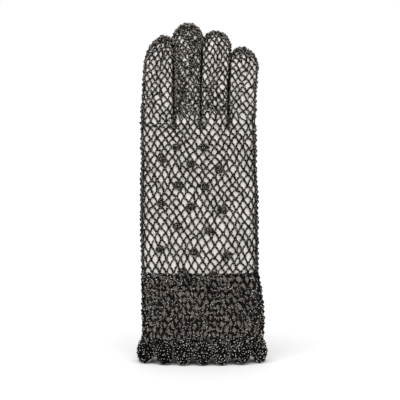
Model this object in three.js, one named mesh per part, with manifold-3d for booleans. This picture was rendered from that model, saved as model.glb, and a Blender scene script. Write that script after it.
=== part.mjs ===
// A short dress glove of beaded net for the right hand, standing on its scalloped hem with the
// back of the hand to the front. It is a black net over a pale lining, with a closer net over a
// dark lining at the cuff, raised bead motifs, and a hem of rounded shells.
// Millimetres. +Z runs from the hem to the fingertips, -Y is the back of the hand, -X the thumb's
// side. The origin is the centre of the wrist opening, in the plane of the hem.
import * as THREE from "three";
import { mergeVertices } from "three/addons/utils/BufferGeometryUtils.js";
import Module from "manifold-3d";

const wasm = await Module();
wasm.setup();

// Layers, as depths below the glove's outer face
const NET_THICKNESS = 1.2;
const LINING_THICKNESS = 1;
const SEAT_GAP = 0.3;
const NET = { outer: 0, inner: NET_THICKNESS };
const LINING = {
  outer: NET_THICKNESS + SEAT_GAP,
  inner: NET_THICKNESS + SEAT_GAP + LINING_THICKNESS,
};

// Heights
const CUFF_TOP = 69;
const HAND_TOP = 183;
const HEM_TOP = 17;
const CUFF_LINING_FOOT = 5;
const THUMB_SPLIT = 134;
const PAST = 2; // how far a cutting solid runs past what it cuts

// Sections from the hem to the foot of the fingers. A squareness of 2 is an ellipse.
const CUFF = [
  { z: 0, x: 1.3, halfWidth: 45.2, halfDepth: 16.5, squareness: 2.4 },
  { z: 32, x: 2.9, halfWidth: 46.2, halfDepth: 15, squareness: 2.5 },
  { z: 50, x: 1.9, halfWidth: 45.7, halfDepth: 14.1, squareness: 2.5 },
  { z: CUFF_TOP, x: 0.3, halfWidth: 44.2, halfDepth: 13, squareness: 2.6 },
];
const HAND = [
  { z: CUFF_TOP, x: 0.3, halfWidth: 44.2, halfDepth: 13, squareness: 2.6 },
  { z: 124, x: -0.4, halfWidth: 44.2, halfDepth: 12.4, squareness: 2.8 },
  { z: 154, x: -0.5, halfWidth: 43, halfDepth: 11.4, squareness: 3 },
  { z: HAND_TOP, x: -1.1, halfWidth: 43, halfDepth: 9.4, squareness: 3.4 },
];

// Fingers: sections up to the shoulder of the rounded tip, then the tip itself.
const FINGERS = {
  index: {
    sections: [
      { z: HAND_TOP, x: -31.7, halfWidth: 12.1, halfDepth: 9.4 },
      { z: 208, x: -31, halfWidth: 11.4, halfDepth: 9.1 },
      { z: 228, x: -30.7, halfWidth: 9.9, halfDepth: 8.7 },
    ],
    tip: { z: 247.5, x: -27.8 },
  },
  middle: {
    sections: [
      { z: HAND_TOP, x: -9.2, halfWidth: 9.7, halfDepth: 9.4 },
      { z: 225, x: -9.2, halfWidth: 10.2, halfDepth: 8.9 },
      { z: 245, x: -9, halfWidth: 11, halfDepth: 8.6 },
    ],
    tip: { z: 257, x: -8.6 },
  },
  ring: {
    sections: [
      { z: HAND_TOP, x: 11.1, halfWidth: 10.1, halfDepth: 9.3 },
      { z: 212, x: 11.4, halfWidth: 9.9, halfDepth: 8.9 },
      { z: 238, x: 12.6, halfWidth: 10.3, halfDepth: 8.4 },
    ],
    tip: { z: 251.5, x: 12.4 },
  },
  little: {
    sections: [
      { z: HAND_TOP, x: 31.8, halfWidth: 10.1, halfDepth: 9 },
      { z: 204, x: 32, halfWidth: 10, halfDepth: 8.4 },
      { z: 225, x: 32.7, halfWidth: 10, halfDepth: 7.9 },
    ],
    tip: { z: 238.5, x: 31.2 },
  },
};
const FINGER_SQUARENESS = 2.3;
const FINGER_BEND = 3; // how far the longest fingertip leans to the palm side
const LONGEST_TIP = FINGERS.middle.tip.z;

// The thumb rises out of the palm side, then lies along it.
const THUMB = {
  sections: [
    { z: 86, x: -26, y: 3, halfWidth: 10.5, halfDepth: 7.5 },
    { z: 100, x: -27, y: 8.5, halfWidth: 12, halfDepth: 9 },
    { z: 116, x: -27, y: 15, halfWidth: 12, halfDepth: 9.6 },
    { z: THUMB_SPLIT, x: -25.3, y: 20.3, halfWidth: 11.2, halfDepth: 9.4 },
    { z: 154, x: -22, y: 22, halfWidth: 10.5, halfDepth: 8.9 },
    { z: 178, x: -17, y: 21.2, halfWidth: 9.8, halfDepth: 8.4 },
  ],
  tip: { z: 192, x: -14.5, y: 20.2 },
};

// Facets
const HAND_SIDES = 24;
const FINGER_SIDES = 10;
const DOME_TURNS = [28, 60].map(THREE.MathUtils.degToRad);
const MERGE_DISTANCE = 1e-4;

// The hem's shells, counted round the wrist from one on the front
const SHELLS = 14;
const SHELL_SIDES = 6;
const FIRST_SHELL_X = 1.5;
const SHELL_BULGE = 4.2;
const VALLEY_BULGE = 0.25; // as a share of the bulge at a shell's middle
const SHELL_NOTCH = 5; // how far the hem's edge rises between two shells
const SHELL_EDGE = { share: 0, bulge: 0.4 };
const SHELL_LOW = { share: 0.2, bulge: 0.85 };
const SHELL_MIDDLE = { share: 0.5, bulge: 1 };
const SHELL_TOP = { share: 1, bulge: 0 };
const OUTLINE_STEPS = 720; // for walking the wrist's outline by its length

// Rows of bead motifs on the back of the hand, each from the thumb's side across
const MOTIF_ROWS = [
  { z: 165, first: -16.9, step: 20.7, drop: 0.7, count: 2 },
  { z: 155.5, first: -28.1, step: 21.4, drop: 3.8, count: 3 },
  { z: 135.8, first: -16.9, step: 21, drop: 0.8, count: 2 },
  { z: 122.3, first: -28.9, step: 22.9, drop: 2.3, count: 3 },
  { z: 105, first: -16.9, step: 24, drop: 3, count: 2 },
  { z: 87.8, first: -29.6, step: 25.5, drop: 2.2, count: 3 },
  { z: 70.5, first: -13.1, step: 24.7, drop: 2.2, count: 2 },
];
const MOTIF = { halfWidth: 3.6, halfHeight: 3, proud: 1.9, petals: 5, waist: 0.82, root: 3 };

// Lozenge gaps in the net, in staggered rows. The real mesh is about three times finer.
const LOZENGE = { across: 17, up: 24, halfWidth: 6.1, halfHeight: 8.6 };
const FINGER_LOZENGE = { halfWidth: 3.9, halfHeight: 6.8, first: 10.5, step: 18, rows: 3 };
const MOTIF_SEAT = 0.85; // how near a motif's middle may come to a gap's, in half sizes of the gap
const EDGE_MARGIN = 8;
const TIP_MARGIN = 3.5;
const CUTTER_REACH = 40;

const FINISHES = {
  net: { color: 0x1d1a18, roughness: 0.45, metalness: 0.1 },
  bead: { color: 0x141211, roughness: 0.25, metalness: 0.2 },
  paleLining: { color: 0xd7d2ce, roughness: 0.9, metalness: 0 },
  darkLining: { color: 0x5f5853, roughness: 0.9, metalness: 0 },
};

// Joins and cuts

function solidOf(geometry) {
  const bare = geometry.clone();
  bare.deleteAttribute("normal");
  bare.deleteAttribute("uv");
  const merged = mergeVertices(bare, MERGE_DISTANCE);
  return new wasm.Manifold(
    new wasm.Mesh({
      numProp: 3,
      vertProperties: new Float32Array(merged.attributes.position.array),
      triVerts: new Uint32Array(merged.index.array),
    }),
  );
}

function geometryOf(solid) {
  const mesh = solid.getMesh();
  const geometry = new THREE.BufferGeometry();
  geometry.setAttribute("position", new THREE.BufferAttribute(mesh.vertProperties, mesh.numProp));
  geometry.setIndex(new THREE.BufferAttribute(mesh.triVerts, 1));
  geometry.computeVertexNormals();
  return geometry;
}

// Triangles between two rings of points, given the first index of each.
function band(low, high, sides) {
  const index = [];
  for (let i = 0; i < sides; i++) {
    const next = (i + 1) % sides;
    index.push(low + i, low + next, high + next, low + i, high + next, high + i);
  }
  return index;
}

// A closed skin over rings of equal length. An end point in its ring's plane makes a flat end.
function skin(rings, firstPoint, lastPoint) {
  const sides = rings[0].length;
  const positions = [...rings.flat(), firstPoint, lastPoint].flatMap((p) => p.toArray());
  const first = rings.length * sides;
  const last = first + 1;
  const top = first - sides;
  const index = [];
  for (let r = 0; r + 1 < rings.length; r++) {
    index.push(...band(r * sides, (r + 1) * sides, sides));
  }
  for (let i = 0; i < sides; i++) {
    const next = (i + 1) % sides;
    index.push(first, next, i);
    index.push(top + i, top + next, last);
  }
  const geometry = new THREE.BufferGeometry();
  geometry.setAttribute("position", new THREE.Float32BufferAttribute(positions, 3));
  geometry.setIndex(index);
  return geometry;
}

// Sections

function signedPower(value, power) {
  return Math.sign(value) * Math.abs(value) ** power;
}

// A point on a section's outline, counter-clockwise from +X as seen from above.
function outlinePoint(section, angle, depth) {
  const power = 2 / section.squareness;
  return new THREE.Vector3(
    section.x + (section.halfWidth - depth) * signedPower(Math.cos(angle), power),
    (section.y ?? 0) + (section.halfDepth - depth) * signedPower(Math.sin(angle), power),
    section.z,
  );
}

function outline(section, sides, depth) {
  return Array.from({ length: sides }, (_, i) => outlinePoint(section, (2 * Math.PI * i) / sides, depth));
}

function centre(section) {
  return new THREE.Vector3(section.x, section.y ?? 0, section.z);
}

// The section at a height, from the two rows of the table that lie about it.
function sectionAt(table, z) {
  const above = Math.max(1, table.findIndex((row) => row.z >= z));
  const [low, high] = [table[above - 1], table[above]];
  const share = (z - low.z) / (high.z - low.z);
  const mixed = { z };
  for (const column of ["x", "halfWidth", "halfDepth", "squareness"]) {
    mixed[column] = THREE.MathUtils.lerp(low[column], high[column], share);
  }
  return mixed;
}

// Solid lofts at a depth below the outer face

function flatEnded(table, depth, sides = HAND_SIDES) {
  const rings = table.map((section) => outline(section, sides, depth));
  return solidOf(skin(rings, centre(table[0]), centre(table.at(-1))));
}

// The hand's solid, whose top web drops by the same depth. foot is the height of its open end.
function handSolid(depth, foot = CUFF_TOP) {
  const table = HAND.map((section) => ({ ...section }));
  table[0].z = foot;
  table.at(-1).z = HAND_TOP - depth;
  return flatEnded(table, depth);
}

// A finger or thumb with a rounded tip. foot moves its open end.
function digitSolid(digit, depth, foot = digit.sections[0].z) {
  const table = digit.sections.map((section) => ({ squareness: FINGER_SQUARENESS, ...section }));
  table[0].z = foot;
  const shoulder = table.at(-1);
  const rise = digit.tip.z - depth - shoulder.z;
  for (const turn of DOME_TURNS) {
    const up = Math.sin(turn);
    const narrow = Math.cos(turn);
    table.push({
      ...shoulder,
      z: shoulder.z + rise * up,
      x: THREE.MathUtils.lerp(shoulder.x, digit.tip.x, up),
      y: THREE.MathUtils.lerp(shoulder.y, digit.tip.y, up),
      halfWidth: (shoulder.halfWidth - depth) * narrow + depth,
      halfDepth: (shoulder.halfDepth - depth) * narrow + depth,
    });
  }
  const rings = table.map((section) => outline(section, FINGER_SIDES, depth));
  const tip = new THREE.Vector3(digit.tip.x, digit.tip.y, digit.tip.z - depth);
  return solidOf(skin(rings, centre(table[0]), tip));
}

// Fingers lean to the palm side by the square of their height.
function bendAt(z) {
  return FINGER_BEND * Math.max(0, (z - HAND_TOP) / (LONGEST_TIP - HAND_TOP)) ** 2;
}

for (const finger of Object.values(FINGERS)) {
  for (const row of [...finger.sections, finger.tip]) {
    row.y = bendAt(row.z);
  }
}

// Gaps in the net

// A lozenge bar that runs from the middle plane out through the front or the back.
function lozenge(x, z, { halfWidth, halfHeight }, side) {
  const shape = new THREE.Shape();
  shape.moveTo(-halfWidth, 0);
  shape.lineTo(0, -halfHeight);
  shape.lineTo(halfWidth, 0);
  shape.lineTo(0, halfHeight);
  const geometry = new THREE.ExtrudeGeometry(shape, { depth: CUTTER_REACH, bevelEnabled: false });
  geometry.rotateX(side === "front" ? Math.PI / 2 : -Math.PI / 2);
  geometry.translate(x, 0, z);
  return solidOf(geometry);
}

const motifs = MOTIF_ROWS.flatMap((row) =>
  Array.from({ length: row.count }, (_, i) => ({ x: row.first + i * row.step, z: row.z - i * row.drop })),
);

// A motif sits on the net, so no gap opens under its middle.
function clearOfMotifs(x, z) {
  const { halfWidth, halfHeight } = LOZENGE;
  return motifs.every((m) => Math.abs(m.x - x) / halfWidth + Math.abs(m.z - z) / halfHeight > MOTIF_SEAT);
}

function clearOfThumb(x, z) {
  const reach = THUMB.sections[1].halfWidth + EDGE_MARGIN;
  return Math.abs(x - THUMB.sections[1].x) > reach || z > THUMB_SPLIT + EDGE_MARGIN;
}

// Staggered gaps over a table of sections, wherever isClear allows one.
function latticeGaps(table, low, high, side, isClear) {
  const bars = [];
  const rows = Math.floor((2 * (high - low)) / LOZENGE.up) - 1;
  const start = (low + high - ((rows - 1) * LOZENGE.up) / 2) / 2;
  for (let row = 0; row < rows; row++) {
    const z = start + (row * LOZENGE.up) / 2;
    const section = sectionAt(table, z);
    const reach = section.halfWidth - EDGE_MARGIN;
    const shift = row % 2 ? LOZENGE.across / 2 : 0;
    for (let i = -3; i <= 3; i++) {
      const x = section.x + i * LOZENGE.across + shift;
      if (Math.abs(x - section.x) < reach && isClear(x, z)) {
        bars.push(lozenge(x, z, LOZENGE, side));
      }
    }
  }
  return bars;
}

function fingerGaps(finger) {
  const { first, step, rows, halfHeight } = FINGER_LOZENGE;
  const [root, shoulder] = [finger.sections[0], finger.sections.at(-1)];
  const bars = [];
  for (let row = 0; row < rows; row++) {
    const z = HAND_TOP + first + row * step;
    if (z + halfHeight < finger.tip.z - TIP_MARGIN) {
      const x = THREE.MathUtils.mapLinear(z, root.z, shoulder.z, root.x, shoulder.x);
      bars.push(lozenge(x, z, FINGER_LOZENGE, "front"), lozenge(x, z, FINGER_LOZENGE, "back"));
    }
  }
  return bars;
}

// Pieces

// The shell of the hand in one layer, with a hole for each finger and for the thumb.
function handLayer(layer) {
  let shell = handSolid(layer.outer, CUFF_TOP + SEAT_GAP / 2);
  shell = shell.subtract(handSolid(layer.inner, CUFF_TOP - PAST));
  for (const finger of Object.values(FINGERS)) {
    const root = { ...finger.sections[0], squareness: FINGER_SQUARENESS };
    const ends = [HAND_TOP - LINING.inner - PAST, HAND_TOP + PAST].map((z) => ({ ...root, z }));
    shell = shell.subtract(flatEnded(ends, layer.inner, FINGER_SIDES));
  }
  return shell.subtract(digitSolid(THUMB, layer.inner));
}

function fingerLayer(finger, layer) {
  const foot = HAND_TOP - layer.outer + SEAT_GAP;
  return digitSolid(finger, layer.outer, foot).subtract(digitSolid(finger, layer.inner, foot - PAST));
}

// The thumb's tube above the split, or its gusset below, standing on the hand's same layer.
function thumbLayer(layer, part) {
  const bore = digitSolid(THUMB, layer.inner, THUMB.sections[0].z - PAST);
  const whole = digitSolid(THUMB, layer.outer).subtract(bore);
  const up = part === "tube" ? 1 : -1;
  const kept = whole.trimByPlane([0, 0, up], up * THUMB_SPLIT + SEAT_GAP / 2);
  return kept.subtract(handSolid(layer.outer - SEAT_GAP));
}

// The cuff's solid between two heights. past lengthens it at both ends, to cut with.
function cuffSolid(depth, foot, top, past = 0) {
  const rows = CUFF.filter((section) => section.z > foot && section.z < top);
  const [first, last] = [sectionAt(CUFF, foot), sectionAt(CUFF, top)];
  return flatEnded([{ ...first, z: foot - past }, ...rows, { ...last, z: top + past }], depth);
}

function cuffLayer(layer, foot) {
  const top = CUFF_TOP - SEAT_GAP / 2;
  return cuffSolid(layer.outer, foot, top).subtract(cuffSolid(layer.inner, foot, top, PAST));
}

// Angles at equal steps of length round the wrist's outline, from one on the front.
function evenTurns(count) {
  const dense = outline(sectionAt(CUFF, HEM_TOP), OUTLINE_STEPS, 0);
  const walked = [0];
  for (let i = 0; i < OUTLINE_STEPS; i++) {
    walked.push(walked[i] + dense[i].distanceTo(dense[(i + 1) % OUTLINE_STEPS]));
  }
  const whole = walked[OUTLINE_STEPS];
  const start = walked[dense.findIndex((p) => p.y < 0 && p.x > FIRST_SHELL_X)];
  return Array.from({ length: count }, (_, i) => {
    const along = (start + (i / count) * whole) % whole;
    return (2 * Math.PI * walked.findIndex((length) => length >= along)) / OUTLINE_STEPS;
  });
}

// The hem: a fluted ring of shells, cupped outwards, with an edge that rises between them.
function hemRuffle() {
  const columns = SHELLS * SHELL_SIDES;
  const turns = evenTurns(columns);
  const ringAt = ({ share, bulge }, depth) =>
    turns.map((turn, i) => {
      const swell = Math.abs(Math.cos((Math.PI * i) / SHELL_SIDES));
      const edge = SHELL_NOTCH * (1 - swell) ** 1.5;
      const z = THREE.MathUtils.lerp(edge, HEM_TOP, share);
      const out = SHELL_BULGE * bulge * THREE.MathUtils.lerp(VALLEY_BULGE, 1, swell);
      return outlinePoint({ ...sectionAt(CUFF, z), z }, turn, depth - out);
    });
  // The wall runs up its outer face and down its inner one.
  const rings = [
    ...[SHELL_EDGE, SHELL_LOW, SHELL_MIDDLE, SHELL_TOP].map((level) => ringAt(level, NET.outer)),
    ...[SHELL_TOP, SHELL_MIDDLE, SHELL_EDGE].map((level) => ringAt(level, NET.inner)),
  ];
  const positions = rings.flat().flatMap((p) => p.toArray());
  const index = rings.flatMap((_, r) => band(r * columns, ((r + 1) % rings.length) * columns, columns));
  const geometry = new THREE.BufferGeometry();
  geometry.setAttribute("position", new THREE.Float32BufferAttribute(positions, 3));
  geometry.setIndex(index);
  return solidOf(geometry);
}

// A petalled dome of beads, trimmed to sit on the net.
function motifSolid({ x, z }, ground) {
  const sides = 2 * MOTIF.petals;
  const face = -sectionAt(HAND, Math.max(z, CUFF_TOP)).halfDepth;
  const ringAt = (y) =>
    Array.from({ length: sides }, (_, i) => {
      const angle = (2 * Math.PI * i) / sides;
      const reach = i % 2 ? MOTIF.waist : 1;
      const across = MOTIF.halfWidth * reach * Math.cos(angle);
      return new THREE.Vector3(x + across, y, z + MOTIF.halfHeight * reach * Math.sin(angle));
    });
  const rings = [ringAt(face + MOTIF.root), ringAt(face - MOTIF.proud / 2)];
  const foot = new THREE.Vector3(x, face + MOTIF.root, z);
  const crown = new THREE.Vector3(x, face - MOTIF.proud, z);
  return solidOf(skin(rings, foot, crown)).subtract(ground);
}

// Assembly

const glove = new THREE.Group();

function addGroup() {
  const group = new THREE.Group();
  glove.add(group);
  return group;
}

function place(group, name, solid, finish) {
  const mesh = new THREE.Mesh(geometryOf(solid), new THREE.MeshStandardMaterial(FINISHES[finish]));
  mesh.name = name;
  group.add(mesh);
}

const pierce = (solid, bars) => solid.subtract(wasm.Manifold.union(bars));

const cuff = addGroup();
const cuffFoot = HEM_TOP + SEAT_GAP;
const cuffBars = ["front", "back"].flatMap((side) =>
  latticeGaps(CUFF, cuffFoot, CUFF_TOP, side, () => true),
);
place(cuff, "cuff_lining", cuffLayer(LINING, CUFF_LINING_FOOT), "darkLining");
place(cuff, "cuff_net", pierce(cuffLayer(NET, cuffFoot), cuffBars), "bead");
place(cuff, "hem_ruffle", hemRuffle(), "bead");

const hand = addGroup();
const handBars = [
  ...latticeGaps(HAND, CUFF_TOP, HAND_TOP, "front", clearOfMotifs),
  ...latticeGaps(HAND, CUFF_TOP, HAND_TOP, "back", clearOfThumb),
];
place(hand, "hand_lining", handLayer(LINING), "paleLining");
place(hand, "hand_net", pierce(handLayer(NET), handBars), "net");

const fingers = addGroup();
for (const [name, finger] of Object.entries(FINGERS)) {
  place(fingers, `${name}_finger_lining`, fingerLayer(finger, LINING), "paleLining");
  place(fingers, `${name}_finger_net`, pierce(fingerLayer(finger, NET), fingerGaps(finger)), "net");
}

const thumb = addGroup();
place(thumb, "thumb_gusset_lining", thumbLayer(LINING, "gusset"), "paleLining");
place(thumb, "thumb_gusset_net", thumbLayer(NET, "gusset"), "net");
place(thumb, "thumb_lining", thumbLayer(LINING, "tube"), "paleLining");
place(thumb, "thumb_net", thumbLayer(NET, "tube"), "net");

const trim = addGroup();
const ground = wasm.Manifold.union([handSolid(-SEAT_GAP), flatEnded(CUFF, -SEAT_GAP)]);
motifs.forEach((motif, i) => {
  place(trim, `motif_${String(i + 1).padStart(2, "0")}`, motifSolid(motif, ground), "bead");
});

export default glove;
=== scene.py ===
"""The looks of a short beaded net glove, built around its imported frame.

The net, the bead motifs and the scalloped hem are strands and beads laid over sleeves that
follow the frame's own sections. The linings are thin sewn sleeves under them. Sizes are in
millimetres until a mesh is made, and every mesh is in metres in the frame's own axes.
"""

import logging
import math
from collections.abc import Callable
from dataclasses import dataclass, field
from enum import Enum

import bpy
import numpy as np
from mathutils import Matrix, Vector


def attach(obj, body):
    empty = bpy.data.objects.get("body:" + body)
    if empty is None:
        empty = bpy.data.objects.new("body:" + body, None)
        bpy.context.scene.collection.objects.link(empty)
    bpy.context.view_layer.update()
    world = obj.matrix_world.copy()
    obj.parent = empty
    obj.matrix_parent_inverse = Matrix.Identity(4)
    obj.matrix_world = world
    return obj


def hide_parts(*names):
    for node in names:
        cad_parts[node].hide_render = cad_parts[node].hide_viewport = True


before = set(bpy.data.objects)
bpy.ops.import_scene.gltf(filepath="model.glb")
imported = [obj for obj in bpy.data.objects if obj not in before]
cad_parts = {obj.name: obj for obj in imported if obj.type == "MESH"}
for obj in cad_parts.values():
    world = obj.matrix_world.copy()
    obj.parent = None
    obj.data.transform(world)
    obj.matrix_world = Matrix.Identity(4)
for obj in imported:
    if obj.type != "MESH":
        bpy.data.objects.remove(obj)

Array = np.ndarray
Chance = np.random.Generator
Piece = bpy.types.Object
Keep = Callable[[Array], Array]
Colour = tuple[float, float, float]

LOG = logging.getLogger("glove")
MM = 0.001
TURN = 2 * math.pi
BODY = "root"
SEED = 5887

# Layers under the glove's outer face, and the heights where its parts meet
NET_DEPTH = 0.62
FINGER_NET_DEPTH = 0.45
LINING_DEPTH = 1.5
FINGER_LINING_DEPTH = 1.15
LINING_THICKNESS = 1.0
CUFF_TOP = 69.0
HAND_TOP = 183.0
HEM_TOP = 17.0
CUFF_LINING_FOOT = 5.0
THUMB_FOOT = 89.0

# The photograph's frame: its scale, and the pixel where the glove's origin stands
PHOTO_SIDE = 400
MM_PER_PIXEL = 0.75
ORIGIN_PIXEL = (199.5, 366.7)


class Side(Enum):
    """The two faces of the hand."""

    BACK_OF_HAND = "back_of_hand"
    PALM = "palm"


class Digit(Enum):
    """The four fingers, by their names in the frame."""

    INDEX = "index"
    MIDDLE = "middle"
    RING = "ring"
    LITTLE = "little"


@dataclass(frozen=True)
class Section:
    """One level of a sleeve. A squareness of 2 is an ellipse."""

    z: float
    x: float
    half_width: float
    half_depth: float
    squareness: float = 2.3
    y: float = 0.0


@dataclass(frozen=True)
class Tip:
    """The crown of a rounded fingertip."""

    z: float
    x: float
    y: float = 0.0


COLUMNS = ("z", "x", "y", "half_width", "half_depth", "squareness")


def unit(vectors: Array) -> Array:
    """Vectors of length one."""
    length = np.linalg.norm(vectors, axis=-1, keepdims=True)
    return vectors / np.maximum(length, 1e-9)


def smooth(share: Array) -> Array:
    """A soft step from 0 to 1."""
    share = np.clip(share, 0, 1)
    return share * share * (3 - 2 * share)


def waves(table: tuple[Colour, ...], u: Array, s: Array, start: Array | float = 0.0) -> Array:
    """Adds up waves that run round and up a wall.

    Args:
        table: Size, turns round the wall and length up it of each wave.
        u: Share of the way round.
        s: Length up the wall.
        start: What the waves are added to.

    Returns:
        The sum at each place.
    """
    return sum((size * np.sin(TURN * turns * u + s / length) for size, turns, length in table), start)


def outline(angle: Array, squareness: Array | float) -> tuple[Array, Array]:
    """A section's outline at angles, for a half width and a half depth of one.

    Args:
        angle: The section's own angles.
        squareness: Its squareness, one or one for each angle.

    Returns:
        Places across and through at each angle.
    """
    cos, sin = np.cos(angle), np.sin(angle)
    power = 2 / squareness
    return np.sign(cos) * np.abs(cos) ** power, np.sign(sin) * np.abs(sin) ** power


@dataclass
class Sleeve:
    """A tapering tube over a table of sections, with or without a rounded tip.

    A place on it is given by u, the share of the way round from +X against the clock as seen
    from above, by s, the length up the wall from the foot, and by a depth under its face.
    """

    sections: tuple[Section, ...]
    tip: Tip | None = None
    steps: int = 40
    turns: int = 720
    tip_turn: float = math.radians(86)

    def __post_init__(self) -> None:
        """Works out the levels and the even turns that points() reads."""
        heights = np.array([row.z for row in self.sections])
        z = np.linspace(heights[0], heights[-1], self.steps)
        levels = {
            name: np.interp(z, heights, [getattr(row, name) for row in self.sections])
            for name in COLUMNS
        }
        levels["narrow"] = np.ones(self.steps)
        levels["up"] = np.zeros(self.steps)
        if self.tip is not None:
            levels = self._with_dome(levels)
        self.levels = levels
        mean = (levels["half_width"] + levels["half_depth"]) / 2
        self.s = np.concatenate([[0], np.cumsum(np.hypot(np.diff(levels["z"]), np.diff(mean)))])
        self.shoulder = float(self.s[self.steps - 1])
        self.length = float(self.s[-1])
        self.turn_s = np.interp(heights, levels["z"][: self.steps], self.s[: self.steps])
        self.turn_rows = np.array([self._even_turns(row) for row in self.sections])

    def _with_dome(self, levels: dict[str, Array]) -> dict[str, Array]:
        """Adds the rounded tip to the levels of the straight wall.

        Args:
            levels: The straight wall's columns.

        Returns:
            The columns with the dome's rows after them.
        """
        turn = np.linspace(0, self.tip_turn, self.steps // 2)[1:]
        up, narrow = np.sin(turn), np.cos(turn)
        last = {name: levels[name][-1] for name in levels}
        dome = {"narrow": narrow, "up": up, "squareness": np.full(len(turn), last["squareness"])}
        for name in ("z", "x", "y"):
            dome[name] = last[name] + (getattr(self.tip, name) - last[name]) * up
        for name in ("half_width", "half_depth"):
            dome[name] = last[name] * narrow
        return {name: np.concatenate([levels[name], dome[name]]) for name in levels}

    def _even_turns(self, row: Section) -> Array:
        """The angles that divide one section's outline into equal lengths.

        Args:
            row: The section.

        Returns:
            The angle at each even share of the way round.
        """
        angle = np.linspace(0, TURN, self.turns + 1)
        x, y = outline(angle, row.squareness)
        steps = np.hypot(np.diff(row.half_width * x), np.diff(row.half_depth * y))
        walked = np.concatenate([[0], np.cumsum(steps)])
        return np.interp(np.linspace(0, 1, self.turns + 1), walked / walked[-1], angle)

    def _angle(self, u: Array, s: Array) -> Array:
        """The section's own angle at each place.

        Args:
            u: Share of the way round.
            s: Length up the wall.

        Returns:
            The angles.
        """
        even = np.linspace(0, 1, self.turns + 1)
        stack = np.array([np.interp(u % 1.0, even, row) for row in self.turn_rows])
        place = np.interp(s, self.turn_s, np.arange(len(self.turn_s)))
        low = np.clip(place.astype(int), 0, len(self.turn_s) - 2)
        share = place - low
        index = np.arange(u.size)
        return stack[low, index] * (1 - share) + stack[low + 1, index] * share

    def points(self, u: Array, s: Array, depth: Array | float) -> Array:
        """Places on the sleeve.

        Args:
            u: Share of the way round, of any shape.
            s: Length up the wall, of the same shape.
            depth: Depth under the face, one number or the same shape.

        Returns:
            The points, with one more axis of three.
        """
        shape = np.shape(u)
        u, s = np.ravel(u), np.ravel(s)
        depth = np.broadcast_to(depth, shape).ravel()
        row = {name: np.interp(s, self.s, values) for name, values in self.levels.items()}
        across, through = outline(self._angle(u, s), row["squareness"])
        inset = depth * row["narrow"]
        x = row["x"] + (row["half_width"] - inset) * across
        y = row["y"] + (row["half_depth"] - inset) * through
        z = row["z"] - depth * row["up"]
        return self.shaped(np.stack([x, y, z], axis=-1), depth).reshape(*shape, 3)

    def shaped(self, points: Array, depth: Array) -> Array:
        """A hook for a sleeve whose wall leaves its sections. The plain sleeve keeps them."""
        return points

    def outward(self, u: Array, s: Array) -> Array:
        """The wall's outward direction at each place.

        Args:
            u: Share of the way round.
            s: Length up the wall.

        Returns:
            Directions of length one.
        """
        du, ds = 0.002, 0.4
        round_it = self.points(u + du, s, 0.0) - self.points(u - du, s, 0.0)
        up = self.points(u, np.minimum(s + ds, self.length), 0.0) - self.points(u, s - ds, 0.0)
        return unit(np.cross(round_it, up))

    def height_to_s(self, z: float) -> float:
        """The length up the wall at a height."""
        return float(np.interp(z, self.levels["z"], self.s))

    def section_at(self, z: Array) -> Section:
        """The section at each height, with its numbers as arrays."""
        heights = self.levels["z"]
        return Section(**{name: np.interp(z, heights, self.levels[name]) for name in COLUMNS})

    def holds(self, points: Array, grow: float = 0.0) -> Array:
        """Whether each point lies within the sleeve.

        Args:
            points: Points with a last axis of three.
            grow: How much wider than its face the sleeve counts.

        Returns:
            True where a point is inside.
        """
        z = points[..., 2]
        row = self.section_at(z)
        across = np.abs(points[..., 0] - row.x) / (row.half_width + grow)
        through = np.abs(points[..., 1] - row.y) / (row.half_depth + grow)
        inside = across**row.squareness + through**row.squareness < 1
        return inside & (z > self.levels["z"][0]) & (z < self.levels["z"][-1] + grow)


def reach_at(row: Section, x: Array, depth: Array | float) -> Array:
    """How far a section's wall stands from its middle plane.

    Args:
        row: The section.
        x: Places across.
        depth: Depths under the section's face.

    Returns:
        The distance at each place, 0 beyond the section's sides.
    """
    across = np.abs(x - row.x) / (row.half_width - depth)
    rest = np.clip(1 - np.minimum(across, 1) ** row.squareness, 0, 1)
    return (row.half_depth - depth) * rest ** (1 / row.squareness)


def draw_in(points: Array, reach: Array, share: Array) -> Array:
    """Draws points in towards the middle plane.

    Args:
        points: The points, which are moved.
        reach: How far from the plane a fully drawn point may lie.
        share: How far along its way each point goes.

    Returns:
        The points.
    """
    far = np.abs(points[:, 1])
    points[:, 1] = np.sign(points[:, 1]) * (far + (np.minimum(far, reach) - far) * share)
    return points


@dataclass
class HandSleeve(Sleeve):
    """The hand's sleeve, whose top sinks in between the fingers."""

    roots: tuple[Section, ...] = ()
    sink_from: float = 174.5

    def shaped(self, points: Array, depth: Array) -> Array:
        """Draws the wall in to the fingers' roots near the top.

        Args:
            points: Points on the plain sleeve.
            depth: Their depths under its face.

        Returns:
            The drawn-in points.
        """
        reach = np.max([reach_at(root, points[:, 0], depth) for root in self.roots], axis=0)
        share = smooth((points[:, 2] - self.sink_from) / (HAND_TOP - self.sink_from))
        return draw_in(points, reach, share)


# The sections follow the frame's own, with fingers a little squarer and some a little wider
CUFF_SLEEVE = Sleeve((
    Section(0, 1.3, 45.2, 16.5, 2.4),
    Section(32, 2.9, 46.2, 15, 2.5),
    Section(50, 1.9, 45.7, 14.1, 2.5),
    Section(CUFF_TOP, 0.3, 44.2, 13, 2.6),
))
HAND_CROWN = Section(HAND_TOP, -1.1, 43, 9.4, 3.4)
FINGER_BEND = 3.0
FINGER_SQUARENESS = 4.8
FINGER_LINING_SPREAD = 0.5
FINGER_TUCK = 1.5
LONGEST_TIP = 257.0


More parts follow.
